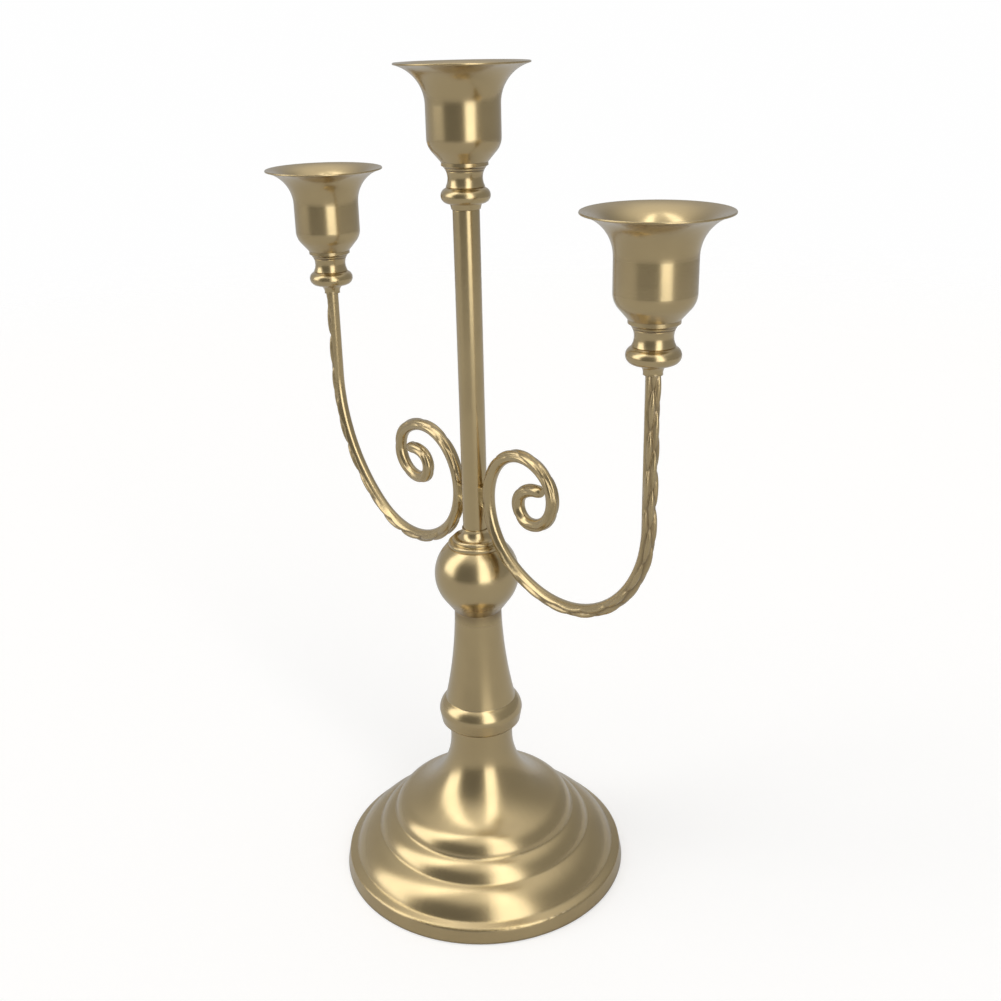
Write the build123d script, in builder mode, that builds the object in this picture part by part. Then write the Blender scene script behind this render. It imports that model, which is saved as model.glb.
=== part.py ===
from build123d import *
import math
import os

# A three-arm candelabra: a stepped sheet base, a cast column and ball, a tube stem with the middle candle cup,
# and two scrolled rod arms that carry the side cups. Millimetres, Z up, origin at the middle of the underside.
# The arms lie along X, and each piece is made where it sits in the assembly.

# Clearances, each on the radius
bore_clearance = 0.1      # round a rod, tube, plug or screw in its hole
pad_clearance = 0.3       # round the base pad inside the hem

# Base pad and sheet base
pad_thickness = 1.6
hem_lift = 0.4            # the hem stays this much above the table
base_radius = 49.6
rim_height = 5.2          # top edge of the rim band
rim_draft = 0.9           # how much narrower the band is at its top edge
rim_edge_radius = 0.7
hem_width = 1.6
hem_reach = 5.0           # flange turned in over the pad
base_sheet = 1.0
base_height = 55.6
base_neck_radius = 10.7
base_neck_straight = 5.9
ridge_steps = [           # radius, height and radius of the hollow below each ridge
    (27.0, 26.1, 8.0),
    (31.6, 20.0, 9.0),
    (37.3, 14.3, 14.0),
]
last_hollow_radius = 46.0  # where the lowest hollow runs out
last_hollow_height = 6.4
ridge_softening = 0.5

# Tie rod with its nut and washer
rod_radius = 2.5
rod_below_nut = 3.0
rod_in_insert = 11.0
washer_radius = 8.0
washer_thickness = 1.2
nut_across_flats = 8.0
nut_height = 4.0
end_chamfer = 0.4

# Tapered column with its bead
column_height = 43.1
column_top_radius = 7.85
column_middle_radius = 9.0
column_waist_radius = 11.9
bead_height = 9.6         # from the bead's underside to the foot of the taper
bead_shoulder_radius = 13.55
bead_shoulder = 7.6
bead_edge_radius = 14.25  # the sharp edge between shoulder and band
bead_edge = 5.0
bead_band_radius = 13.5
bead_band = 0.9
bead_foot_radius = 12.6

# Ball
ball_radius = 14.0
ball_cone_angle = 36.0    # the underside runs off at a tangent, this many degrees below the middle
ball_top_radius = 9.4

# Stepped collar under the stem
collar_steps = [(9.1, 1.5), (7.7, 1.4)]   # radius and height of each step
collar_edge = 0.4
collar_cone_radius = 5.9
collar_cone_height = 3.2
collar_waist_wall = 0.6  # wall of the cone where it curves
collar_waist = 1.3
collar_lip = 0.3         # wall of the cone at its top edge
collar_floor = 1.6

# Stem tube and the threaded insert in its foot
stem_radius = 4.05
stem_wall = 1.0
stem_length = 106.5
insert_length = 15.0

# Side arms: each a rod bent in one plane into a wide bow and then a scroll that closes on itself. They are bent
# by hand, so the bends of the left one differ a little from those of the right one.
arm_span = 75.0           # from the middle of the stem to the middle of a side cup
arm_rod_radius = 2.0
arm_height = 72.6         # top end of the rod above the foot of the stem
left_gap = 1.9            # between rod and stem at the brazed joint
left_joint_height = 15.3  # middle of the brazed joint above the foot of the stem
left_outer_bend = (54.5, 54.0)    # radius and degrees of turn, from the upright end inwards
left_bow_turn = 78.0              # the bow's radius follows from the span
left_inner_radius = 21.0
left_scroll = [(18.7, 39.0), (17.1, 85.0), (8.9, 166.0), (4.6, 134.0), (9.8, 46.0)]
right_gap = 1.0
right_joint_height = 16.7
right_outer_bend = (35.0, 20.5)
right_bow_turn = 104.0
right_inner_radius = 24.0
right_scroll = [(19.4, 36.0), (15.3, 94.0), (9.8, 143.0), (5.2, 143.0), (12.8, 36.0)]
braze_length = 8.5
braze_waist = 6.0
braze_width = 3.2

# Knob under each cup neck
knob_height = 4.6
knob_radius = 7.4
knob_widest = 2.1
knob_seam_radius = 6.0
knob_foot_radius = 4.8
seam_groove = 0.25        # bevel on both sides of the seam under the neck
stem_skirt_height = 1.7
stem_skirt_lip = 0.3
stem_spigot_length = 6.0
arm_skirt_height = 3.0
arm_skirt_lip = 0.6
arm_skirt_hollow = 0.55     # how far the skirt's side curves in from a straight cone
arm_socket_web = 0.6      # metal between the rod's socket and the screw's hole

# Cup neck
neck_height = 7.2
neck_flange_radius = 6.95
neck_flange_height = 1.0
neck_flange_step = 0.25
neck_waist_radius = 5.2
neck_waist = 2.9
neck_seam_radius = 5.8

# Candle cup
cup_sheet = 0.6
cup_height = 27.5
cup_foot_radius = 6.95
cup_body_radius = 10.95
cup_bowl_corner = 4.6
cup_bowl_radius = 6.0
cup_lip_radius = 19.8
cup_flare_angle = 78.0
cup_lip_rounding = 0.25

# Screw that holds cup, neck and knob together
screw_radius = 2.0
screw_length = 12.0
screw_head_radius = 3.6
screw_head_height = 2.4
screw_head_rounding = 1.2
slot_width = 0.9
slot_length = 4.4
slot_depth = 1.3

# Heights of the stack above the table
shell_top = base_height
column_top = shell_top + column_height
ball_cone_drop = ball_radius * math.sin(math.radians(ball_cone_angle))
ball_cone_radius = ball_radius * math.cos(math.radians(ball_cone_angle))
ball_cone_run = (ball_cone_radius - column_top_radius) / math.tan(math.radians(ball_cone_angle))
ball_middle = column_top + ball_cone_run + ball_cone_drop
ball_top = ball_middle + math.sqrt(ball_radius**2 - ball_top_radius**2)
stem_foot = ball_top + collar_floor
stem_top = stem_foot + stem_length
arm_top = stem_foot + arm_height

# Seams: the face between knob and neck of each candle place
screw_reach = screw_length - cup_sheet - neck_height
stem_seam = stem_top + stem_skirt_height + knob_height
screw_hole_depth = screw_reach + 1.0
arm_seam = arm_top + arm_socket_web + screw_hole_depth
screw_hole_radius = screw_radius + bore_clearance
rod_hole_radius = rod_radius + bore_clearance

os.makedirs("parts", exist_ok=True)


def upright(x, z):
    """The drawing plane of a turned piece that stands at x with its datum at height z."""
    return Plane(origin=(x, 0, z), x_dir=(1, 0, 0), z_dir=(0, -1, 0))


def turning_axis(x):
    """The upright line that a piece at x is turned about."""
    return Axis((x, 0, 0), (0, 0, 1))


def nearest_corner(section, radius, height):
    """The corner of a drawn section that lies closest to a radius and height."""
    return section.vertices().sort_by_distance(Vertex(radius, height, 0))[0]


# Base pad: a felt-faced disc glued under the hem's flange
pad_radius = base_radius - hem_width - pad_clearance
with BuildPart() as base_pad:
    with BuildSketch(Plane.XY):
        Circle(pad_radius)
    extrude(amount=pad_thickness)
base_pad.part.label = "base_pad"
export_step(base_pad.part, "parts/base_pad.step")

# Base shell: one spun sheet, closed at the top of its neck, with three ridges and a rim band with a turned hem
rim_top_radius = base_radius - rim_draft
rim_slope = rim_draft / (rim_height - hem_lift)
rim_at_pad = base_radius - rim_slope * (pad_thickness - hem_lift)
rim_at_flange = base_radius - rim_slope * (pad_thickness + base_sheet - hem_lift)
hem_inside = base_radius - hem_width
flare_top = base_height - base_neck_straight
with BuildPart() as base_shell:
    with BuildSketch(Plane.XZ) as shell_section:
        with BuildLine():
            Line((rod_hole_radius, base_height), (base_neck_radius, base_height))
            Line((base_neck_radius, base_height), (base_neck_radius, flare_top))
            TangentArc((base_neck_radius, flare_top), ridge_steps[0][:2], tangent=(0, -1))
            hollow_ends = [step[:2] for step in ridge_steps[1:]] + [(last_hollow_radius, last_hollow_height)]
            for (radius, height, hollow), hollow_end in zip(ridge_steps, hollow_ends):
                RadiusArc((radius, height), hollow_end, hollow)
            Line((last_hollow_radius, last_hollow_height), (rim_top_radius, rim_height))
            Line((rim_top_radius, rim_height), (rim_at_pad, pad_thickness))
            offset(amount=-base_sheet, side=Side.RIGHT)
        make_face()
        for radius, height, hollow in ridge_steps:
            fillet(nearest_corner(shell_section, radius, height), ridge_softening)
        fillet(nearest_corner(shell_section, rim_top_radius, rim_height), rim_edge_radius)
        with BuildLine():
            Polyline(
                (base_radius, hem_lift),
                (hem_inside, hem_lift),
                (hem_inside, pad_thickness),
                (hem_inside - hem_reach, pad_thickness),
                (hem_inside - hem_reach, pad_thickness + base_sheet),
                (rim_at_flange, pad_thickness + base_sheet),
                close=True,
            )
        make_face()
    revolve(axis=Axis.Z)
base_shell.part.label = "base_shell"
export_step(base_shell.part, "parts/base_shell.step")

# Tie rod: threaded from the nut under the neck, up through column and ball, into the insert in the stem
washer_top = base_height - base_sheet
nut_top = washer_top - washer_thickness
rod_bottom = nut_top - nut_height - rod_below_nut
rod_length = stem_foot + rod_in_insert - rod_bottom
with BuildPart() as tie_rod:
    with BuildSketch(Plane.XY.offset(rod_bottom)):
        Circle(rod_radius)
    extrude(amount=rod_length)
    chamfer(tie_rod.edges().filter_by(GeomType.CIRCLE), end_chamfer)
tie_rod.part.label = "tie_rod"
export_step(tie_rod.part, "parts/tie_rod.step")

with BuildPart() as clamp_washer:
    with BuildSketch(Plane.XY.offset(washer_top)):
        Circle(washer_radius)
        Circle(rod_hole_radius, mode=Mode.SUBTRACT)
    extrude(amount=-washer_thickness)
clamp_washer.part.label = "clamp_washer"
export_step(clamp_washer.part, "parts/clamp_washer.step")

with BuildPart() as clamp_nut:
    with BuildSketch(Plane.XY.offset(nut_top)):
        RegularPolygon(nut_across_flats / 2, 6, major_radius=False)
        Circle(rod_hole_radius, mode=Mode.SUBTRACT)
    extrude(amount=-nut_height)
clamp_nut.part.label = "clamp_nut"
export_step(clamp_nut.part, "parts/clamp_nut.step")

# Tapered column: a casting with a bead at its foot, bored for the tie rod
bead_top = shell_top + bead_height
taper_middle = (bead_top + column_top) / 2
with BuildPart() as tapered_column:
    with BuildSketch(Plane.XZ):
        with BuildLine():
            Line((rod_hole_radius, shell_top), (bead_foot_radius, shell_top))
            Line((bead_foot_radius, shell_top), (bead_band_radius, shell_top + bead_band))
            Line((bead_band_radius, shell_top + bead_band), (bead_edge_radius, shell_top + bead_edge))
            ThreePointArc(
                (bead_edge_radius, shell_top + bead_edge),
                (bead_shoulder_radius, shell_top + bead_shoulder),
                (column_waist_radius, bead_top),
            )
            ThreePointArc(
                (column_waist_radius, bead_top),
                (column_middle_radius, taper_middle),
                (column_top_radius, column_top),
            )
            Line((column_top_radius, column_top), (rod_hole_radius, column_top))
            Line((rod_hole_radius, column_top), (rod_hole_radius, shell_top))
        make_face()
    revolve(axis=Axis.Z)
tapered_column.part.label = "tapered_column"
export_step(tapered_column.part, "parts/tapered_column.step")

# Ball: round on top of a short cone that runs down to the column
ball_top_angle = math.degrees(math.acos(ball_top_radius / ball_radius))
with BuildPart() as ball:
    with BuildSketch(Plane.XZ):
        with BuildLine():
            Line((rod_hole_radius, column_top), (column_top_radius, column_top))
            Line((column_top_radius, column_top), (ball_cone_radius, column_top + ball_cone_run))
            CenterArc((0, ball_middle), ball_radius, -ball_cone_angle, ball_cone_angle + ball_top_angle)
            Line((ball_top_radius, ball_top), (rod_hole_radius, ball_top))
            Line((rod_hole_radius, ball_top), (rod_hole_radius, column_top))
        make_face()
    revolve(axis=Axis.Z)
ball.part.label = "ball"
export_step(ball.part, "parts/ball.step")

# Stepped collar: turned rings on the ball, with a cone that holds the foot of the stem
stem_hole_radius = stem_radius + bore_clearance
collar_cone_foot = ball_top + sum(height for radius, height in collar_steps)
collar_cone_top = collar_cone_foot + collar_cone_height
with BuildPart() as stepped_collar:
    step_foot = ball_top
    for radius, height in collar_steps:
        with BuildSketch(Plane.XY.offset(step_foot)):
            Circle(radius)
        extrude(amount=height)
        chamfer(stepped_collar.edges().filter_by(GeomType.CIRCLE).sort_by(Axis.Z)[-1], collar_edge)
        step_foot += height
    with BuildSketch(Plane.XZ):
        with BuildLine():
            Line((0, collar_cone_foot), (collar_cone_radius, collar_cone_foot))
            ThreePointArc(
                (collar_cone_radius, collar_cone_foot),
                (stem_hole_radius + collar_waist_wall, collar_cone_foot + collar_waist),
                (stem_hole_radius + collar_lip, collar_cone_top),
            )
            Line((stem_hole_radius + collar_lip, collar_cone_top), (0, collar_cone_top))
            Line((0, collar_cone_top), (0, collar_cone_foot))
        make_face()
    revolve(axis=Axis.Z)
    with BuildSketch(Plane.XY.offset(stem_foot)):
        Circle(stem_hole_radius)
    extrude(amount=collar_cone_top - stem_foot, mode=Mode.SUBTRACT)
    with BuildSketch(Plane.XY.offset(ball_top)):
        Circle(rod_hole_radius)
    extrude(amount=collar_floor, mode=Mode.SUBTRACT)
stepped_collar.part.label = "stepped_collar"
export_step(stepped_collar.part, "parts/stepped_collar.step")

# Stem: a plain tube, with a threaded insert fixed in its foot
stem_bore_radius = stem_radius - stem_wall
with BuildPart() as stem_tube:
    with BuildSketch(Plane.XY.offset(stem_foot)):
        Circle(stem_radius)
        Circle(stem_bore_radius, mode=Mode.SUBTRACT)
    extrude(amount=stem_length)
stem_tube.part.label = "stem_tube"
export_step(stem_tube.part, "parts/stem_tube.step")

with BuildPart() as stem_insert:
    with BuildSketch(Plane.XY.offset(stem_foot)):
        Circle(stem_bore_radius - bore_clearance / 2)
        Circle(rod_radius + bore_clearance / 2, mode=Mode.SUBTRACT)
    extrude(amount=insert_length)
stem_insert.part.label = "stem_insert"
export_step(stem_insert.part, "parts/stem_insert.step")


# Side arms: both are bent on the right of the stem, and the left one is turned over to its side
def bent_rod(name, gap, joint_height, outer_bend, bow_turn, inner_radius, scroll):
    """A rod with an upright end, a bow that comes back up beside the stem, and a scroll."""
    joint_reach = stem_radius + gap + arm_rod_radius
    outer_turn = math.radians(outer_bend[1])
    bow_end = math.radians(outer_bend[1] + bow_turn)
    outer_reach = outer_bend[0] * (1 - math.cos(outer_turn))
    inner_reach = inner_radius * (1 + math.cos(bow_end))
    bow_reach = arm_span - joint_reach - outer_reach - inner_reach
    bow_radius = bow_reach / (math.cos(outer_turn) - math.cos(bow_end))
    outer_rise = outer_bend[0] * math.sin(outer_turn)
    bow_rise = bow_radius * (math.sin(bow_end) - math.sin(outer_turn))
    inner_rise = -inner_radius * math.sin(bow_end)
    upright_foot = stem_foot + joint_height + outer_rise + bow_rise + inner_rise
    inner_turn = 180 - outer_bend[1] - bow_turn
    bends = [outer_bend, (bow_radius, bow_turn), (inner_radius, inner_turn)] + scroll
    with BuildPart() as rod:
        with BuildLine(Plane.XZ) as route:
            stretch = Line((arm_span, arm_top), (arm_span, upright_foot))
            for radius, turn in bends:
                stretch = JernArc(stretch @ 1, stretch % 1, radius, -turn)
        with BuildSketch(Plane(origin=(arm_span, 0, arm_top), z_dir=(0, 0, -1))):
            Circle(arm_rod_radius)
        sweep(path=route.wire())
    print(name, "rod length", round(route.wire().length, 2), "bow radius", round(bow_radius, 2))
    print(name, "length from volume", round(rod.part.volume / (math.pi * arm_rod_radius**2), 2))
    return rod


def arm_braze(rod, gap, joint_height):
    """The filler between a rod on the right and the stem, hollow above and below."""
    middle = stem_foot + joint_height
    reach = stem_radius + gap + arm_rod_radius
    bridge_middle = stem_radius + gap / 2
    with BuildPart() as braze:
        with BuildSketch(Plane.XZ):
            with BuildLine():
                Line((0, middle - braze_length / 2), (0, middle + braze_length / 2))
                ThreePointArc(
                    (0, middle + braze_length / 2),
                    (bridge_middle, middle + braze_waist / 2),
                    (reach, middle + braze_length / 2),
                )
                Line((reach, middle + braze_length / 2), (reach, middle - braze_length / 2))
                ThreePointArc(
                    (reach, middle - braze_length / 2),
                    (bridge_middle, middle - braze_waist / 2),
                    (0, middle - braze_length / 2),
                )
            make_face()
        extrude(amount=braze_width / 2, both=True)
        with BuildSketch(Plane.XY.offset(middle)):
            Circle(stem_radius)
        extrude(amount=braze_length, both=True, mode=Mode.SUBTRACT)
        add(rod.part, mode=Mode.SUBTRACT)
    return braze


right_arm = bent_rod(
    "right", right_gap, right_joint_height, right_outer_bend, right_bow_turn, right_inner_radius, right_scroll
)
right_arm.part.label = "right_arm"
export_step(right_arm.part, "parts/right_arm.step")

right_arm_braze = arm_braze(right_arm, right_gap, right_joint_height)
right_arm_braze.part.label = "right_arm_braze"
export_step(right_arm_braze.part, "parts/right_arm_braze.step")

left_rod = bent_rod("left", left_gap, left_joint_height, left_outer_bend, left_bow_turn, left_inner_radius, left_scroll)
with BuildPart() as left_arm:
    mirror(left_rod.part, about=Plane.YZ)
left_arm.part.label = "left_arm"
export_step(left_arm.part, "parts/left_arm.step")

left_filler = arm_braze(left_rod, left_gap, left_joint_height)
with BuildPart() as left_arm_braze:
    mirror(left_filler.part, about=Plane.YZ)
left_arm_braze.part.label = "left_arm_braze"
export_step(left_arm_braze.part, "parts/left_arm_braze.step")


def knob_bead(seam):
    """The rounded bead of a knob, drawn in an open outline from the middle of its top face."""
    Line((0, seam), (knob_seam_radius - seam_groove, seam))
    Line((knob_seam_radius - seam_groove, seam), (knob_seam_radius, seam - seam_groove))
    ThreePointArc(
        (knob_seam_radius, seam - seam_groove),
        (knob_radius, seam - knob_widest),
        (knob_foot_radius, seam - knob_height),
    )


def stem_knob(seam):
    """The knob on top of the stem: a bead, a skirt down to the tube and a spigot inside it."""
    bead_foot = seam - knob_height
    skirt_radius = stem_radius + stem_skirt_lip
    spigot_radius = stem_bore_radius - bore_clearance / 2
    with BuildPart() as knob:
        with BuildSketch(Plane.XZ):
            with BuildLine():
                knob_bead(seam)
                Line((knob_foot_radius, bead_foot), (skirt_radius, stem_top))
                Line((skirt_radius, stem_top), (spigot_radius, stem_top))
                Line((spigot_radius, stem_top), (spigot_radius, stem_top - stem_spigot_length))
                Line((spigot_radius, stem_top - stem_spigot_length), (0, stem_top - stem_spigot_length))
                Line((0, stem_top - stem_spigot_length), (0, seam))
            make_face()
        revolve(axis=Axis.Z)
        with BuildSketch(Plane.XY.offset(seam)):
            Circle(screw_hole_radius)
        extrude(amount=-screw_hole_depth, mode=Mode.SUBTRACT)
    return knob


def arm_knob(x, seam):
    """The knob on an arm's upright end: a bead, a hollow skirt and a socket for the rod."""
    bead_foot = seam - knob_height
    skirt_foot = bead_foot - arm_skirt_height
    rod_socket = arm_rod_radius + bore_clearance
    lip_radius = rod_socket + arm_skirt_lip
    with BuildPart() as knob:
        with BuildSketch(upright(x, 0)):
            with BuildLine():
                knob_bead(seam)
                ThreePointArc(
                    (knob_foot_radius, bead_foot),
                    (
                        (knob_foot_radius + lip_radius) / 2 - arm_skirt_hollow,
                        (bead_foot + skirt_foot) / 2 + arm_skirt_hollow,
                    ),
                    (lip_radius, skirt_foot),
                )
                Line((lip_radius, skirt_foot), (0, skirt_foot))
                Line((0, skirt_foot), (0, seam))
            make_face()
        revolve(axis=turning_axis(x))
        with BuildSketch(Plane((x, 0, seam))):
            Circle(screw_hole_radius)
        extrude(amount=-screw_hole_depth, mode=Mode.SUBTRACT)
        with BuildSketch(Plane((x, 0, skirt_foot))):
            Circle(rod_socket)
        extrude(amount=arm_top - skirt_foot, mode=Mode.SUBTRACT)
    return knob


def cup_neck(x, seam):
    """The waisted neck between a knob and its cup, with a thin flange on top."""
    flange_top = seam + neck_height
    flange_foot = flange_top - neck_flange_height
    with BuildPart() as neck:
        with BuildSketch(upright(x, 0)):
            with BuildLine():
                Line((screw_hole_radius, seam), (neck_seam_radius - seam_groove, seam))
                Line((neck_seam_radius - seam_groove, seam), (neck_seam_radius, seam + seam_groove))
                ThreePointArc(
                    (neck_seam_radius, seam + seam_groove),
                    (neck_waist_radius, seam + neck_waist),
                    (neck_flange_radius - neck_flange_step, flange_foot),
                )
                Line((neck_flange_radius - neck_flange_step, flange_foot), (neck_flange_radius, flange_foot))
                Line((neck_flange_radius, flange_foot), (neck_flange_radius, flange_top))
                Line((neck_flange_radius, flange_top), (screw_hole_radius, flange_top))
                Line((screw_hole_radius, flange_top), (screw_hole_radius, seam))
            make_face()
        revolve(axis=turning_axis(x))
    return neck


def candle_cup(x, foot):
    """A spun cup: flat foot with a screw hole, rounded bowl, straight socket and a wide flared lip."""
    flare = math.radians(cup_flare_angle)
    flare_radius = (cup_lip_radius - cup_body_radius) / (1 - math.cos(flare))
    flare_foot = foot + cup_height - (flare_radius + cup_sheet) * math.sin(flare)
    with BuildPart() as cup:
        with BuildSketch(upright(x, 0)):
            with BuildLine():
                Line((screw_hole_radius, foot), (cup_foot_radius, foot))
                FilletPolyline(
                    (cup_foot_radius, foot),
                    (cup_body_radius, foot + cup_bowl_corner),
                    (cup_body_radius, flare_foot),
                    radius=cup_bowl_radius,
                )
                JernArc((cup_body_radius, flare_foot), (0, 1), flare_radius, -cup_flare_angle)
                offset(amount=-cup_sheet, side=Side.LEFT)
            make_face()
        revolve(axis=turning_axis(x))
        fillet(cup.edges().filter_by(GeomType.CIRCLE).sort_by(Axis.Z)[-2:], cup_lip_rounding)
    return cup


def cup_screw(x, seat):
    """A pan-head screw with a cross slot, its head on the floor of the cup."""
    head_top = seat + screw_head_height
    with BuildPart() as screw:
        with BuildSketch(Plane((x, 0, seat))):
            Circle(screw_radius)
        extrude(amount=-screw_length)
        chamfer(screw.edges().filter_by(GeomType.CIRCLE).sort_by(Axis.Z)[0], end_chamfer)
        with BuildSketch(Plane((x, 0, seat))):
            Circle(screw_head_radius)
        extrude(amount=screw_head_height)
        fillet(screw.edges().filter_by(GeomType.CIRCLE).sort_by(Axis.Z)[-1], screw_head_rounding)
        with BuildSketch(Plane((x, 0, head_top))):
            Rectangle(slot_length, slot_width)
            Rectangle(slot_width, slot_length)
        extrude(amount=-slot_depth, mode=Mode.SUBTRACT)
    return screw


candle_places = {
    "left": (-arm_span, arm_seam),
    "centre": (0, stem_seam),
    "right": (arm_span, arm_seam),
}
for side, (x, seam) in candle_places.items():
    cup_foot = seam + neck_height
    stack = {
        "knob": arm_knob(x, seam) if x else stem_knob(seam),
        "cup_neck": cup_neck(x, seam),
        "candle_cup": candle_cup(x, cup_foot),
        "cup_screw": cup_screw(x, cup_foot + cup_sheet),
    }
    for kind, piece in stack.items():
        name = f"{side}_{kind}"
        piece.part.label = name
        export_step(piece.part, f"parts/{name}.step")
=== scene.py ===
import math

import bpy
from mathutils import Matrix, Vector


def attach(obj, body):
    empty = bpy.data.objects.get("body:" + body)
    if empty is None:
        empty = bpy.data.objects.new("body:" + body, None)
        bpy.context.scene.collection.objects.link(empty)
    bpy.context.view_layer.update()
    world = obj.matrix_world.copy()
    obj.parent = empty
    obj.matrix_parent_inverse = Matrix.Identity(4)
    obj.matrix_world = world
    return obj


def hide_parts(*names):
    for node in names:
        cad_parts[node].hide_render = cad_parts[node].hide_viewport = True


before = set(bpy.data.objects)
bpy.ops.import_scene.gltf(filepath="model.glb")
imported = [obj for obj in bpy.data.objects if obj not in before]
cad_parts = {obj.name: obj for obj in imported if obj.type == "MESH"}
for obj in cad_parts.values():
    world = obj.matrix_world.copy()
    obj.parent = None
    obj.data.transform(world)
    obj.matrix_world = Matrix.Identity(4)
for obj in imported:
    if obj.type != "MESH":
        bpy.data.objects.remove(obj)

bl_info = {
    "name": "Candelabra",
    "version": (1, 0, 0),
    "blender": (4, 5, 0),
    "location": "View3D > Sidebar > Candelabra",
    "description": "Dresses a three-arm candelabra: satin gilt metal, relief on the arms and a studio stage",
    "category": "Object",
}

MM = 0.001
DEGREE = math.radians(1)
SIDES = ("left", "centre", "right")
TURNED = ("tapered_column", "ball", "stepped_collar", "stem_tube")
STACKED = ("knob", "candle_cup")
CLAMPED = ("tie_rod", "clamp_nut", "clamp_washer", "stem_insert")

# Seams between pieces and turned lines, where shade is painted darker into the gilt, each as its height and how
# far its painted shade spreads
COLUMN_SEAM = (98.7 * MM, 4.5 * MM)
BASE_SEAM = (55.6 * MM, 1.6 * MM)
NECK_LINES = [(height * MM, 0.35 * MM) for height in (206.9, 207.7, 241.3, 242.1)]

# Bump of each finish, as its strength and distance
SATIN_BUMP = (0.05, 0.2 * MM)
RELIEF_BUMP = (0.15, 0.2 * MM)
SOLDER_BUMP = (0.9, 1.2 * MM)
ZINC_BUMP = (0.1, 0.1 * MM)
FELT_BUMP = (0.6, 0.4 * MM)

COAT_ROUGHNESS = 0.22
COAT_IOR = 1.7

# Bends of the arms: gap to the stem, joint above the stem's foot, outer bend, turn of the bow, radius of the
# inner bend, and the bends of the scroll. A bend is its radius and turn, in mm and degrees. They are those of
# the solids, apart from the right scroll's last bend, which runs 4 degrees further.
ARM_BENDS = {
    "left": (1.9, 15.3, (54.5, 54.0), 78.0, 21.0,
             [(18.7, 39.0), (17.1, 85.0), (8.9, 166.0), (4.6, 134.0), (9.8, 46.0)]),
    "right": (1.0, 16.7, (35.0, 20.5), 104.0, 24.0,
              [(19.4, 36.0), (15.3, 94.0), (9.8, 143.0), (5.2, 143.0), (12.8, 40.0)]),
}
ROUTE_STEP = 0.4 * MM

# Relief of the arms
END_SHARE = 0.65  # of the rod's radius, left at the scroll's end
LEVEL_CROWN = 0.62  # height of the pads at which the rod keeps its own radius
END_STRETCH = 4.0 * MM  # over which the pads die away at the scroll's end
PAD_SIDE = (75 * DEGREE, 125 * DEGREE)  # from the outer side, where the pads start and stop to die away
WORN_FROM = (0.42, 0.6)  # share of the rod's length over which the pads become worn
WORN_AWAY = 0.62  # share of their height that is then gone
FIRST_ROW = 20.0  # keeps the rows' numbers above zero

CAMERA_PLACE = (0.277967, -0.229174, 0.280296)
CAMERA_TURN = (68.326, 1.1385, 48.7182)
CAMERA_LENS = 42.9802
CAMERA_SENSOR = 36.0

# Studio light: even all round, more overhead, less in the dark strip and on the dull side
EVEN_LIGHT = 0.43
OVERHEAD_LIGHT = 0.46
DARK_STRIP_LIGHT = -0.24
DULL_SIDE_LIGHT = -0.10
LEFT_BOX_SHARE = 0.9
STUDIO_TINT = (1.0, 0.985, 0.965, 1)
BACKDROP = (0.995, 0.995, 0.995, 1)

FLOOR_HALF = 1.4
FLOOR_FADE = (0.75, 1.35)
FLOOR_LIFT = 0.505


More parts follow.
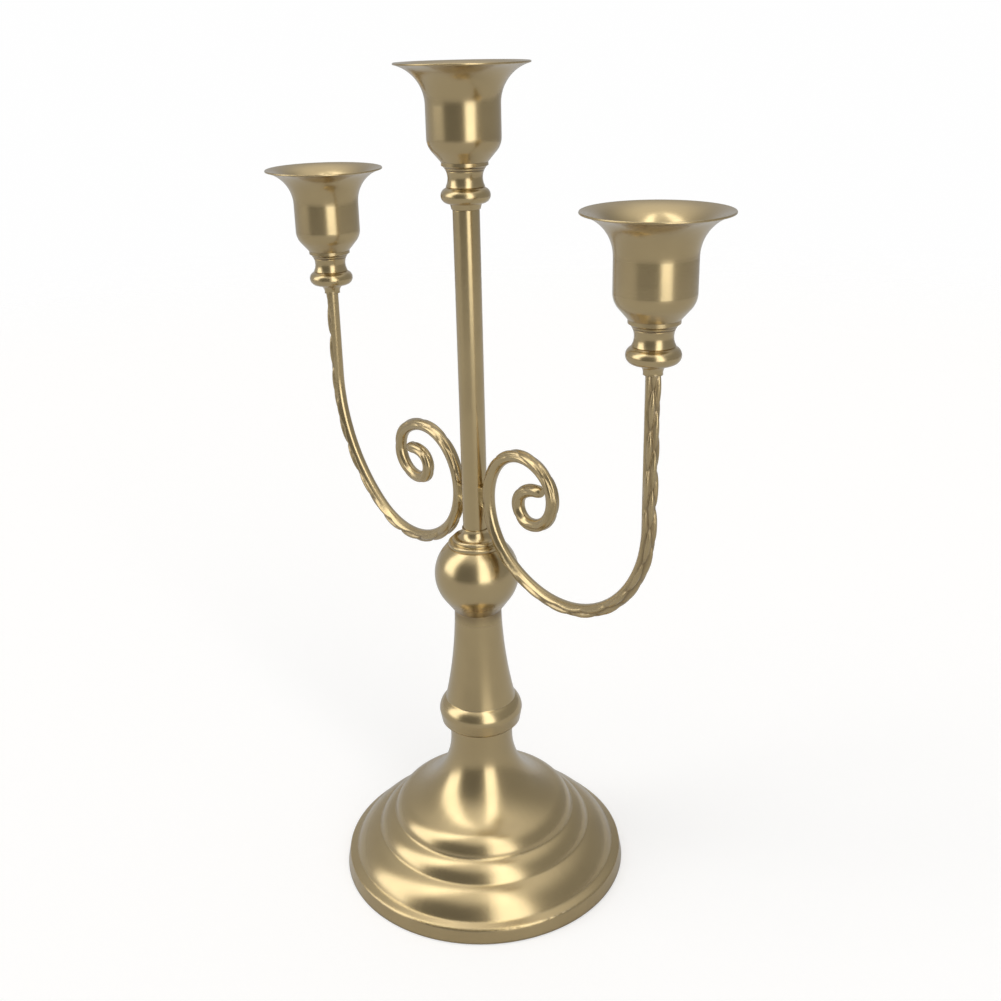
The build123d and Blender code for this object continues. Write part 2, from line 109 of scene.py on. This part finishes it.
class CandelabraSettings(bpy.types.PropertyGroup):
    """Sizes of the arms and the surface, colours of the finishes, and the light"""
    rod_radius: bpy.props.FloatProperty(
        name="Rod radius", description="Radius of the arms' round rod",
        default=2.0 * MM, unit="LENGTH", precision=5)
    arm_span: bpy.props.FloatProperty(
        name="Arm span", description="From the stem's axis to a side cup's axis",
        default=75.0 * MM, unit="LENGTH")
    arm_foot: bpy.props.FloatProperty(
        name="Stem foot", description="Height of the stem's foot, which the arms are measured from",
        default=123.6886 * MM, unit="LENGTH", precision=6)
    arm_height: bpy.props.FloatProperty(
        name="Arm height", description="Top end of an arm's rod above the stem's foot",
        default=72.6 * MM, unit="LENGTH")
    stem_radius: bpy.props.FloatProperty(
        name="Stem radius", description="Outer radius of the stem's tube",
        default=4.05 * MM, unit="LENGTH", precision=5)
    relief_depth: bpy.props.FloatProperty(
        name="Relief depth", description="From the crown of a pad to the notch beside it",
        default=1.0 * MM, unit="LENGTH", precision=5)
    pad_length: bpy.props.FloatProperty(
        name="Pad length", description="Length of one pad of the relief along the rod",
        default=11.3 * MM, unit="LENGTH", precision=5)
    pad_angle: bpy.props.FloatProperty(
        name="Pad angle", description="How much of the rod's round one row of pads takes",
        default=math.radians(62), subtype="ANGLE")
    slant: bpy.props.FloatProperty(
        name="Slant", description="Turn of the rows about the rod, in radians for each metre along it",
        default=24.0)
    edge_rounding: bpy.props.FloatProperty(
        name="Edge rounding", description="Radius of the edges on the turned pieces",
        default=0.6 * MM, unit="LENGTH", precision=5)
    base_rounding: bpy.props.FloatProperty(
        name="Base rounding", description="Radius of the edges on the spun base",
        default=1.4 * MM, unit="LENGTH", precision=5)
    line_depth: bpy.props.FloatProperty(
        name="Line depth", description="Depth of the fine turned lines on the cup necks",
        default=0.25 * MM, unit="LENGTH", precision=5)
    gilt_light: bpy.props.FloatVectorProperty(
        name="Gilt", description="Colour of the gilt paint",
        default=(0.572, 0.438, 0.21, 1), size=4, min=0, max=1, subtype="COLOR")
    # Darker gilt: random patches and the solder's tone, and painted shade in the seams and the relief's
    # notches.
    gilt_dark: bpy.props.FloatVectorProperty(
        name="Darker gilt and painted shade", description="Colour of the darker gilt, also painted as shade in hollows",
        default=(0.36, 0.26, 0.115, 1), size=4, min=0, max=1, subtype="COLOR")
    zinc_light: bpy.props.FloatVectorProperty(
        name="Zinc", description="Colour of the zinc plate on the clamping parts",
        default=(0.62, 0.60, 0.56, 1), size=4, min=0, max=1, subtype="COLOR")
    zinc_dark: bpy.props.FloatVectorProperty(
        name="Zinc blotches", description="Colour of the darker blotches in the zinc plate",
        default=(0.45, 0.44, 0.42, 1), size=4, min=0, max=1, subtype="COLOR")
    felt_light: bpy.props.FloatVectorProperty(
        name="Felt", description="Colour of the felt under the base",
        default=(0.055, 0.06, 0.052, 1), size=4, min=0, max=1, subtype="COLOR")
    felt_dark: bpy.props.FloatVectorProperty(
        name="Felt between fibres", description="Colour of the felt between its fibres",
        default=(0.018, 0.02, 0.017, 1), size=4, min=0, max=1, subtype="COLOR")
    key_strength: bpy.props.FloatProperty(
        name="Softbox strength", description="Brightness of the two tall softboxes",
        default=1.9)


def settings():
    return bpy.context.scene.candelabra


# Node trees: small helpers that the materials, the relief and the sky share
def node(tree, kind, **values):
    made = tree.nodes.new(kind)
    for key, value in values.items():
        setattr(made, key, value)
    return made


def join(tree, source, target):
    """Links an output to an input, or sets the input to a plain value."""
    if hasattr(source, "is_output"):
        tree.links.new(source, target)
    else:
        target.default_value = source


def calc(tree, operation, *terms, clamp=False):
    made = node(tree, "ShaderNodeMath", operation=operation, use_clamp=clamp)
    for term, socket in zip(terms, made.inputs):
        join(tree, term, socket)
    return made.outputs[0]


def vector_calc(tree, operation, *terms):
    made = node(tree, "ShaderNodeVectorMath", operation=operation)
    for term, socket in zip(terms, made.inputs):
        join(tree, term, socket)
    return made.outputs["Value" if operation in ("DOT_PRODUCT", "LENGTH") else "Vector"]


def split(tree, vector):
    made = node(tree, "ShaderNodeSeparateXYZ")
    join(tree, vector, made.inputs[0])
    return made.outputs


def object_place(tree):
    return node(tree, "ShaderNodeTexCoord").outputs["Object"]


def ease(tree, value, low, high):
    """0 at low and 1 at high, with a smooth step between."""
    made = node(tree, "ShaderNodeMapRange", interpolation_type="SMOOTHSTEP")
    for name, term in (("Value", value), ("From Min", low), ("From Max", high)):
        join(tree, term, made.inputs[name])
    return made.outputs["Result"]


def inside(tree, value, low, high, soft):
    """1 between low and high, with soft edges."""
    rise = ease(tree, value, low - soft, low + soft)
    fall = ease(tree, value, high + soft, high - soft)
    return calc(tree, "MULTIPLY", rise, fall)


def blend(tree, factor, first, second):
    """Mixes two colours; the node has these sockets once for each kind of value, so they go by number."""
    made = node(tree, "ShaderNodeMix", data_type="RGBA")
    for socket, term in zip((made.inputs[0], made.inputs[6], made.inputs[7]), (factor, first, second)):
        join(tree, term, socket)
    return made.outputs[2]


def noise(tree, coordinates, scale, detail=2.0):
    made = node(tree, "ShaderNodeTexNoise")
    join(tree, coordinates, made.inputs["Vector"])
    join(tree, scale, made.inputs["Scale"])
    join(tree, detail, made.inputs["Detail"])
    return made.outputs[0]


def finish_group(name, values):
    """A shader group with two colours and further values in, and a colour, roughness and height out."""
    tree = bpy.data.node_groups.new(name, "ShaderNodeTree")
    inputs = [("Light", "NodeSocketColor", (1, 1, 1, 1)), ("Dark", "NodeSocketColor", (0, 0, 0, 1))]
    inputs += [(label, "NodeSocketFloat", default) for label, default in values.items()]
    for label, kind, default in inputs:
        tree.interface.new_socket(label, in_out="INPUT", socket_type=kind).default_value = default
    for label, kind in (("Color", "Color"), ("Roughness", "Float"), ("Height", "Float")):
        tree.interface.new_socket(label, in_out="OUTPUT", socket_type="NodeSocket" + kind)
    return tree, node(tree, "NodeGroupInput").outputs, node(tree, "NodeGroupOutput").inputs


def gilt_group():
    """Satin gilt paint: faint mottling, orange peel, and shade painted darker into hollows and seams; the same
    input gives the solder its darker tone.
    """
    tree, given, result = finish_group("Gilt paint", {"Painted Shade And Tone": 0.0, "Roughness": 0.25, "Grain Scale": 900.0})
    place = object_place(tree)
    mottle = noise(tree, place, 70.0, 3.0)
    grain = noise(tree, place, given["Grain Scale"])
    ripple = noise(tree, place, 190.0, 1.0)
    patches = calc(tree, "MULTIPLY", ease(tree, mottle, 0.35, 0.75), 0.22)
    # Random patches are the paint's own tone; the input adds painted shade in hollows and seams, or the
    # solder's darker tone.
    shade = calc(tree, "ADD", patches, given["Painted Shade And Tone"], clamp=True)
    join(tree, blend(tree, shade, given["Light"], given["Dark"]), result["Color"])
    spread = calc(tree, "MULTIPLY_ADD", mottle, 0.10, -0.05)
    rough = calc(tree, "ADD", given["Roughness"], spread)
    join(tree, calc(tree, "MULTIPLY_ADD", given["Painted Shade And Tone"], 0.28, rough), result["Roughness"])
    join(tree, calc(tree, "MULTIPLY_ADD", ripple, 2.0, grain), result["Height"])
    return tree


def zinc_group():
    """Zinc-plated steel: a blotchy passivated tone with fine scratches."""
    tree, given, result = finish_group("Zinc plate", {"Roughness": 0.3})
    place = object_place(tree)
    blotch = noise(tree, place, 260.0, 3.0)
    join(tree, blend(tree, ease(tree, blotch, 0.3, 0.7), given["Light"], given["Dark"]), result["Color"])
    join(tree, calc(tree, "MULTIPLY_ADD", blotch, 0.2, given["Roughness"]), result["Roughness"])
    join(tree, noise(tree, place, 2200.0), result["Height"])
    return tree


def felt_group():
    """Pressed felt: short tangled fibres and small lumps."""
    tree, given, result = finish_group("Pressed felt", {"Roughness": 0.8})
    place = object_place(tree)
    fibre = noise(tree, place, 2600.0, 6.0)
    lump = noise(tree, place, 320.0)
    mixed = calc(tree, "MULTIPLY_ADD", lump, 0.5, calc(tree, "MULTIPLY", fibre, 0.5))
    join(tree, blend(tree, ease(tree, mixed, 0.35, 0.65), given["Dark"], given["Light"]), result["Color"])
    join(tree, calc(tree, "MULTIPLY_ADD", fibre, 0.15, given["Roughness"]), result["Roughness"])
    join(tree, mixed, result["Height"])
    return tree


def seam_shade(tree, seams):
    """1 at each seam's height, fading out over its own spread: the mask of painted shade in the seams."""
    height_here = split(tree, object_place(tree))["Z"]
    shade = 0.0
    for height, spread in seams:
        near = inside(tree, height_here, height - spread / 2, height + spread / 2, spread / 2)
        shade = calc(tree, "ADD", shade, near)
    return shade


def finish_material(name, group, values, bump, metallic=1.0, coat=0.0, painted_shade_and_tone=None, edge=0.0, groove=0.0):
    """A material whose colour, roughness and bump come from a node group.

    Painted shade, which darkens the colour in hollows and seams, comes from the name of a mesh attribute or a
    list of seams; edge is the radius of rounded edges, and groove the depth that the seams are cut to.
    """
    made = bpy.data.materials.new(name)
    made.use_nodes = True
    tree = made.node_tree
    shader = tree.nodes["Principled BSDF"]
    for label, value in (("Metallic", metallic), ("Coat Weight", coat), ("Coat Roughness", COAT_ROUGHNESS),
                         ("Coat IOR", COAT_IOR)):
        shader.inputs[label].default_value = value
    effect = node(tree, "ShaderNodeGroup", node_tree=group)
    for label, value in values.items():
        effect.inputs[label].default_value = value
    relief = node(tree, "ShaderNodeBump")
    if painted_shade_and_tone:
        by_attribute = isinstance(painted_shade_and_tone, str)
        shade = (node(tree, "ShaderNodeAttribute", attribute_name=painted_shade_and_tone).outputs["Fac"] if by_attribute
                 else seam_shade(tree, painted_shade_and_tone))
        join(tree, shade, effect.inputs["Painted Shade And Tone"])
    if edge:
        rounding = node(tree, "ShaderNodeBevel", samples=6)
        rounding.inputs["Radius"].default_value = edge
        join(tree, rounding.outputs["Normal"], relief.inputs["Normal"])
    if groove:
        cut = node(tree, "ShaderNodeBump", invert=True)
        cut.inputs["Distance"].default_value = groove
        join(tree, shade, cut.inputs["Height"])
        join(tree, cut.outputs["Normal"], relief.inputs["Normal"])
    relief.inputs["Strength"].default_value, relief.inputs["Distance"].default_value = bump
    join(tree, effect.outputs["Height"], relief.inputs["Height"])
    join(tree, effect.outputs["Color"], shader.inputs["Base Color"])
    join(tree, effect.outputs["Roughness"], shader.inputs["Roughness"])
    join(tree, relief.outputs["Normal"], shader.inputs["Normal"])
    return made


def gilt_values(roughness=0.24, grain_scale=1500.0, painted_shade_and_tone=0.0):
    given = settings()
    return {"Light": given.gilt_light, "Dark": given.gilt_dark, "Roughness": roughness,
            "Grain Scale": grain_scale, "Painted Shade And Tone": painted_shade_and_tone}


def dress(names, material):
    for name in names:
        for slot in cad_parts[name].material_slots:
            slot.material = material


class CANDELABRA_OT_metalwork(bpy.types.Operator):
    """Give the turned, spun and cast pieces their satin gilt paint"""
    bl_idname = "candelabra.metalwork"
    bl_label = "Dress the metalwork"

    def execute(self, context):
        given = settings()
        group = gilt_group()
        # Painted shade darkens the gilt at the column's and base's seams, and on the turned lines of the cup
        # necks below.
        satin = finish_material("gilt_satin", group, gilt_values(), SATIN_BUMP, coat=1.0,
                                painted_shade_and_tone=[COLUMN_SEAM, BASE_SEAM], edge=given.edge_rounding)
        dress(TURNED, satin)
        dress([f"{side}_{kind}" for side in SIDES for kind in STACKED], satin)
        spun = finish_material("gilt_spun", group, gilt_values(), SATIN_BUMP, coat=1.0,
                               painted_shade_and_tone=[BASE_SEAM], edge=given.base_rounding)
        dress(["base_shell"], spun)
        lined = finish_material("gilt_turned", group, gilt_values(), SATIN_BUMP, coat=1.0,
                                painted_shade_and_tone=NECK_LINES, groove=given.line_depth)
        dress([f"{side}_cup_neck" for side in SIDES], lined)
        solder = finish_material("gilt_solder", group, gilt_values(0.30, 420.0, 0.3), SOLDER_BUMP)
        dress(["left_arm_braze", "right_arm_braze"], solder)
        return {"FINISHED"}


def rod_route(side, gap, joint_height, outer_bend, bow_turn, inner_radius, scroll):
    """Points along the middle line of an arm's rod, from its top end through the bow into the scroll."""
    given = settings()
    joint_reach = given.stem_radius + gap + given.rod_radius
    outer_turn, bow_end = math.radians(outer_bend[1]), math.radians(outer_bend[1] + bow_turn)
    outer_reach = outer_bend[0] * (1 - math.cos(outer_turn))
    inner_reach = inner_radius * (1 + math.cos(bow_end))
    bow_reach = given.arm_span - joint_reach - outer_reach - inner_reach
    bow_radius = bow_reach / (math.cos(outer_turn) - math.cos(bow_end))
    rise = (outer_bend[0] * math.sin(outer_turn) + bow_radius * (math.sin(bow_end) - math.sin(outer_turn))
            - inner_radius * math.sin(bow_end))
    top = given.arm_foot + given.arm_height
    foot = given.arm_foot + joint_height + rise
    inner_turn = 180 - outer_bend[1] - bow_turn
    bends = [outer_bend, (bow_radius, bow_turn), (inner_radius, inner_turn)] + scroll
    straight_steps = round((top - foot) / ROUTE_STEP)
    points = [(given.arm_span, top + (foot - top) * i / straight_steps) for i in range(straight_steps)]
    x, z, heading = given.arm_span, foot, -math.pi / 2
    for radius, turn in bends:
        middle_x, middle_z = x + radius * math.sin(heading), z - radius * math.cos(heading)
        turn = math.radians(turn)
        count = max(4, round(radius * turn / ROUTE_STEP))
        arc = [heading + math.pi / 2 - turn * i / count for i in range(count + 1)]
        places = [(middle_x + radius * math.cos(angle), middle_z + radius * math.sin(angle)) for angle in arc]
        points += places[:-1]
        x, z = places[-1]
        heading -= turn
    points.append((x, z))
    return [Vector((side * x, 0, z)) for x, z in points]


def sweep_rod(tree, given):
    """A round rod swept along the curve, with a rounded end, and the values kept from the curve."""
    along = node(tree, "GeometryNodeSplineParameter").outputs["Length"]
    total = node(tree, "GeometryNodeSplineLength").outputs["Length"]
    kept = node(tree, "GeometryNodeCaptureAttribute")
    for label, kind, source in (
            ("Tangent", "VECTOR", node(tree, "GeometryNodeInputTangent").outputs[0]),
            ("Middle", "VECTOR", node(tree, "GeometryNodeInputPosition").outputs[0]),
            ("Along", "FLOAT", along),
            ("Left", "FLOAT", calc(tree, "SUBTRACT", total, along))):
        kept.capture_items.new(kind, label)
        join(tree, source, kept.inputs[label])
    join(tree, given["Geometry"], kept.inputs["Geometry"])
    rounding = calc(tree, "DIVIDE", kept.outputs["Left"], given["Rod Radius"], clamp=True)
    share = calc(tree, "MULTIPLY_ADD", calc(tree, "POWER", rounding, 0.5), 1 - END_SHARE, END_SHARE)
    sized = node(tree, "GeometryNodeSetCurveRadius")
    join(tree, kept.outputs["Geometry"], sized.inputs["Curve"])
    join(tree, share, sized.inputs["Radius"])
    ring = node(tree, "GeometryNodeCurvePrimitiveCircle")
    join(tree, given["Rod Sides"], ring.inputs["Resolution"])
    join(tree, given["Rod Radius"], ring.inputs["Radius"])
    swept = node(tree, "GeometryNodeCurveToMesh")
    join(tree, sized.outputs["Curve"], swept.inputs["Curve"])
    join(tree, ring.outputs["Curve"], swept.inputs["Profile Curve"])
    join(tree, node(tree, "GeometryNodeInputRadius").outputs[0], swept.inputs["Scale"])
    join(tree, True, swept.inputs["Fill Caps"])
    return swept.outputs["Mesh"], kept.outputs


def pad_profile(tree, given, kept, angle):
    """Height of the pads at an angle round the rod: 1 on a pad's crown and 0 in the notches."""
    drift = calc(tree, "MULTIPLY", kept["Along"], given["Slant"])
    rows = calc(tree, "ADD", calc(tree, "DIVIDE", angle, given["Pad Angle"]),
                calc(tree, "ADD", drift, FIRST_ROW))
    stagger = calc(tree, "MULTIPLY_ADD", calc(tree, "FLOOR", rows), 0.5,
                   calc(tree, "DIVIDE", kept["Along"], given["Pad Length"]))
    squares = []
    for cells in (rows, stagger):
        from_middle = calc(tree, "SUBTRACT", calc(tree, "FRACT", cells), 0.5)
        share = calc(tree, "MULTIPLY", calc(tree, "ABSOLUTE", from_middle), 2.0)
        squares.append(calc(tree, "POWER", share, 2.0))
    bulge = calc(tree, "SUBTRACT", 1.0, calc(tree, "ADD", *squares), clamp=True)
    return calc(tree, "POWER", bulge, 0.5)


def relief_tree(material):
    """Sweeps a round rod along a curve and presses rows of long pads into its outer side."""
    tree = bpy.data.node_groups.new("Rod relief", "GeometryNodeTree")
    face = tree.interface
    face.new_socket("Geometry", in_out="INPUT", socket_type="NodeSocketGeometry")
    for label, default in (("Rod Radius", 0.002), ("Relief Depth", 0.0005), ("Pad Length", 0.011),
                           ("Pad Angle", 1.0), ("Slant", 60.0), ("Side", 1.0)):
        face.new_socket(label, in_out="INPUT", socket_type="NodeSocketFloat").default_value = default
    face.new_socket("Rod Sides", in_out="INPUT", socket_type="NodeSocketInt").default_value = 40
    face.new_socket("Geometry", in_out="OUTPUT", socket_type="NodeSocketGeometry")
    given = node(tree, "NodeGroupInput").outputs
    rod, kept = sweep_rod(tree, given)

    place = node(tree, "GeometryNodeInputPosition").outputs[0]
    spoke = vector_calc(tree, "SUBTRACT", place, kept["Middle"])
    across = vector_calc(tree, "CROSS_PRODUCT", kept["Tangent"], (0, 1, 0))
    outwards = calc(tree, "MULTIPLY", vector_calc(tree, "DOT_PRODUCT", spoke, across), given["Side"])
    sideways = vector_calc(tree, "DOT_PRODUCT", spoke, (0, 1, 0))
    angle = calc(tree, "ARCTAN2", sideways, outwards)
    crown = pad_profile(tree, given, kept, angle)

    near_end = ease(tree, kept["Left"], 0.0, END_STRETCH)
    turned_out = ease(tree, calc(tree, "ABSOLUTE", angle), PAD_SIDE[1], PAD_SIDE[0])
    length = calc(tree, "ADD", kept["Along"], kept["Left"])
    part_way = calc(tree, "DIVIDE", kept["Along"], length)
    worn = calc(tree, "MULTIPLY_ADD", ease(tree, part_way, *WORN_FROM), -WORN_AWAY, 1.0)
    weight = calc(tree, "MULTIPLY", calc(tree, "MULTIPLY", turned_out, near_end), worn)
    above = calc(tree, "MULTIPLY", calc(tree, "SUBTRACT", crown, LEVEL_CROWN), weight)
    push = node(tree, "ShaderNodeVectorMath", operation="SCALE")
    join(tree, vector_calc(tree, "NORMALIZE", spoke), push.inputs[0])
    join(tree, calc(tree, "MULTIPLY", above, given["Relief Depth"]), push.inputs["Scale"])

    pressed = node(tree, "GeometryNodeSetPosition")
    join(tree, push.outputs["Vector"], pressed.inputs["Offset"])
    # Painted shade: the notches between the pads are stored as an attribute that darkens the paint there.
    marked = node(tree, "GeometryNodeStoreNamedAttribute", data_type="FLOAT", domain="POINT")
    join(tree, "painted_shade_and_tone", marked.inputs["Name"])
    join(tree, calc(tree, "MULTIPLY", calc(tree, "SUBTRACT", 1.0, crown), weight), marked.inputs["Value"])
    painted = node(tree, "GeometryNodeSetMaterial")
    painted.inputs["Material"].default_value = material
    geometry = rod
    for step in (pressed, marked, node(tree, "GeometryNodeSetShadeSmooth"),
                 node(tree, "GeometryNodeRealizeInstances"), painted):
        join(tree, geometry, step.inputs["Geometry"])
        geometry = step.outputs["Geometry"]
    join(tree, geometry, node(tree, "NodeGroupOutput").inputs["Geometry"])
    return tree


def relief_arm(name, route, tree, side):
    """One arm as a plain mesh, made by the relief tree from its route."""
    given = settings()
    line = bpy.data.curves.new(name + "_route", "CURVE")
    line.dimensions = "3D"
    spline = line.splines.new("POLY")
    spline.points.add(len(route) - 1)
    for point, place in zip(spline.points, route):
        point.co = (*place, 1)
    carrier = bpy.data.objects.new(name + "_route", line)
    bpy.context.scene.collection.objects.link(carrier)
    modifier = carrier.modifiers.new("Relief", "NODES")
    modifier.node_group = tree
    values = {"Rod Radius": given.rod_radius, "Relief Depth": given.relief_depth,
              "Pad Length": given.pad_length, "Pad Angle": given.pad_angle, "Slant": given.slant, "Side": side}
    for item in tree.interface.items_tree:
        if item.in_out == "INPUT" and item.name in values:
            modifier[item.identifier] = values[item.name]
    bpy.context.view_layer.update()
    ready = carrier.evaluated_get(bpy.context.evaluated_depsgraph_get())
    mesh = bpy.data.meshes.new_from_object(ready)
    mesh.name = name
    bpy.data.objects.remove(carrier)
    bpy.data.curves.remove(line)
    piece = bpy.data.objects.new(name, mesh)
    bpy.context.scene.collection.objects.link(piece)
    return piece


class CANDELABRA_OT_arms(bpy.types.Operator):
    """Build the two bent arms with the relief on their outer side"""
    bl_idname = "candelabra.arms"
    bl_label = "Build the arms"

    def execute(self, context):
        # The relief's paint darkens its notches from the stored attribute as painted shade.
        paint = finish_material("gilt_relief", bpy.data.node_groups["Gilt paint"], gilt_values(0.22, 1100.0),
                                RELIEF_BUMP, coat=1.0, painted_shade_and_tone="painted_shade_and_tone")
        tree = relief_tree(paint)
        for name, (gap, joint, outer, bow_turn, inner, scroll) in ARM_BENDS.items():
            side = 1 if name == "right" else -1
            route = rod_route(side, gap * MM, joint * MM, (outer[0] * MM, outer[1]), bow_turn, inner * MM,
                              [(radius * MM, turn) for radius, turn in scroll])
            piece = relief_arm(name + "_arm_relief", route, tree, side)
            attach(piece, "root")
            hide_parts(name + "_arm")
        return {"FINISHED"}


class CANDELABRA_OT_fittings(bpy.types.Operator):
    """Finish the screws, the tie rod with its nut, washer and insert, and the felt-faced pad"""
    bl_idname = "candelabra.fittings"
    bl_label = "Finish the fittings"

    def execute(self, context):
        given = settings()
        zinc = finish_material(
            "zinc_plate", zinc_group(),
            {"Light": given.zinc_light, "Dark": given.zinc_dark, "Roughness": 0.28}, ZINC_BUMP)
        dress(CLAMPED, zinc)
        dress([f"{side}_cup_screw" for side in SIDES], bpy.data.materials["gilt_solder"])
        felt = finish_material(
            "pad_felt", felt_group(), {"Light": given.felt_light, "Dark": given.felt_dark}, FELT_BUMP,
            metallic=0.0)
        dress(["base_pad"], felt)
        return {"FINISHED"}


def studio_sky():
    """An even studio with two tall softboxes and a dark strip between them; the camera itself sees white.

    Directions are a turn from the camera's side of the object, to the camera's right where positive, and a rise
    above the horizon.
    """
    world = bpy.data.worlds.new("studio")
    bpy.context.scene.world = world
    world.use_nodes = True
    tree = world.node_tree
    look = split(tree, node(tree, "ShaderNodeTexCoord").outputs["Generated"])
    front = math.atan2(CAMERA_PLACE[1], CAMERA_PLACE[0])
    turn = calc(tree, "SUBTRACT", calc(tree, "ARCTAN2", look["Y"], look["X"]), front)
    rise = calc(tree, "ARCSINE", look["Z"])
    lean = calc(tree, "MULTIPLY", ease(tree, rise, 20 * DEGREE, 60 * DEGREE), 10 * DEGREE)
    leaning_turn = calc(tree, "SUBTRACT", turn, lean)

    def patch(left, right, foot, top, soft=2.5, foot_soft=4.0, around=turn):
        """1 in a patch of the sky, given in degrees."""
        wide = inside(tree, around, left * DEGREE, right * DEGREE, soft * DEGREE)
        tall = inside(tree, rise, foot * DEGREE, top * DEGREE, foot_soft * DEGREE)
        return calc(tree, "MULTIPLY", wide, tall)

    right_box = patch(6, 36, -34, 84)
    left_box = patch(-102, -68, 2, 84, foot_soft=6.0, around=leaning_turn)
    beside_left_box = ease(tree, leaning_turn, -66 * DEGREE, -54 * DEGREE)
    dark_strip = calc(tree, "MULTIPLY", beside_left_box, patch(-120, 2, -70, 50, soft=6.0, foot_soft=12.0))
    dull_side = patch(46, 150, -70, 60, soft=10.0, foot_soft=14.0)
    overhead = ease(tree, rise, 30 * DEGREE, 75 * DEGREE)
    boxes = calc(tree, "MULTIPLY_ADD", left_box, LEFT_BOX_SHARE, right_box)
    level = EVEN_LIGHT
    for part, strength in ((overhead, OVERHEAD_LIGHT), (dark_strip, DARK_STRIP_LIGHT),
                           (dull_side, DULL_SIDE_LIGHT), (boxes, settings().key_strength)):
        level = calc(tree, "MULTIPLY_ADD", part, strength, level)

    lit = node(tree, "ShaderNodeBackground")
    lit.inputs["Color"].default_value = STUDIO_TINT
    join(tree, level, lit.inputs["Strength"])
    white = node(tree, "ShaderNodeBackground")
    white.inputs["Color"].default_value = BACKDROP
    choice = node(tree, "ShaderNodeMixShader")
    join(tree, node(tree, "ShaderNodeLightPath").outputs["Is Camera Ray"], choice.inputs[0])
    join(tree, lit.outputs[0], choice.inputs[1])
    join(tree, white.outputs[0], choice.inputs[2])
    join(tree, choice.outputs[0], tree.nodes["World Output"].inputs["Surface"])


def floor_material():
    """Pale matte paper that takes the shadow and fades out into the studio around it."""
    made = bpy.data.materials.new("pale_paper")
    made.use_nodes = True
    tree = made.node_tree
    shader = tree.nodes["Principled BSDF"]
    place = object_place(tree)
    tooth = noise(tree, place, 420.0, 4.0)
    colour = blend(tree, tooth, (0.56, 0.56, 0.56, 1), (0.57, 0.57, 0.57, 1))
    join(tree, colour, shader.inputs["Base Color"])
    shader.inputs["Roughness"].default_value = 1.0
    shader.inputs["Specular IOR Level"].default_value = 0.0
    shader.inputs["Emission Color"].default_value = (1, 1, 1, 1)
    seen = node(tree, "ShaderNodeLightPath").outputs["Is Camera Ray"]
    join(tree, calc(tree, "MULTIPLY", seen, FLOOR_LIFT), shader.inputs["Emission Strength"])
    beyond = node(tree, "ShaderNodeBsdfTransparent")
    fade = node(tree, "ShaderNodeMixShader")
    join(tree, ease(tree, vector_calc(tree, "LENGTH", place), *FLOOR_FADE), fade.inputs[0])
    join(tree, shader.outputs[0], fade.inputs[1])
    join(tree, beyond.outputs[0], fade.inputs[2])
    join(tree, fade.outputs[0], tree.nodes["Material Output"].inputs["Surface"])
    return made


class CANDELABRA_OT_stage(bpy.types.Operator):
    """Set the floor, the studio light and the camera"""
    bl_idname = "candelabra.stage"
    bl_label = "Set the stage"

    def execute(self, context):
        scene = context.scene
        scene.view_settings.view_transform = "Standard"
        studio_sky()
        mesh = bpy.data.meshes.new("floor")
        corners = [(x * FLOOR_HALF, y * FLOOR_HALF, 0) for x, y in ((-1, -1), (1, -1), (1, 1), (-1, 1))]
        mesh.from_pydata(corners, [], [(0, 1, 2, 3)])
        mesh.materials.append(floor_material())
        floor = bpy.data.objects.new("floor", mesh)
        scene.collection.objects.link(floor)
        lens = bpy.data.cameras.new("camera")
        lens.lens = CAMERA_LENS
        lens.sensor_width = CAMERA_SENSOR
        lens.clip_start = 0.01
        camera = bpy.data.objects.new("camera", lens)
        camera.location = CAMERA_PLACE
        camera.rotation_euler = [math.radians(angle) for angle in CAMERA_TURN]
        scene.collection.objects.link(camera)
        scene.camera = camera
        return {"FINISHED"}


class CANDELABRA_PT_panel(bpy.types.Panel):
    """Sizes and colours of the candelabra and the steps that dress it"""
    bl_idname = "CANDELABRA_PT_panel"
    bl_label = "Candelabra"
    bl_space_type = "VIEW_3D"
    bl_region_type = "UI"
    bl_category = "Candelabra"

    def draw(self, context):
        layout = self.layout
        for key in CandelabraSettings.__annotations__:
            layout.prop(context.scene.candelabra, key)
        for step in STEPS:
            layout.operator(step.bl_idname)


STEPS = (CANDELABRA_OT_metalwork, CANDELABRA_OT_arms, CANDELABRA_OT_fittings, CANDELABRA_OT_stage)
CLASSES = (CandelabraSettings, *STEPS, CANDELABRA_PT_panel)


def register():
    for item in CLASSES:
        bpy.utils.register_class(item)
    bpy.types.Scene.candelabra = bpy.props.PointerProperty(type=CandelabraSettings)


def unregister():
    del bpy.types.Scene.candelabra
    for item in reversed(CLASSES):
        bpy.utils.unregister_class(item)


def main():
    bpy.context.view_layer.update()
    register()
    bpy.ops.candelabra.metalwork()
    bpy.ops.candelabra.arms()
    bpy.ops.candelabra.fittings()
    bpy.ops.candelabra.stage()


if __name__ == "__main__":
    main()
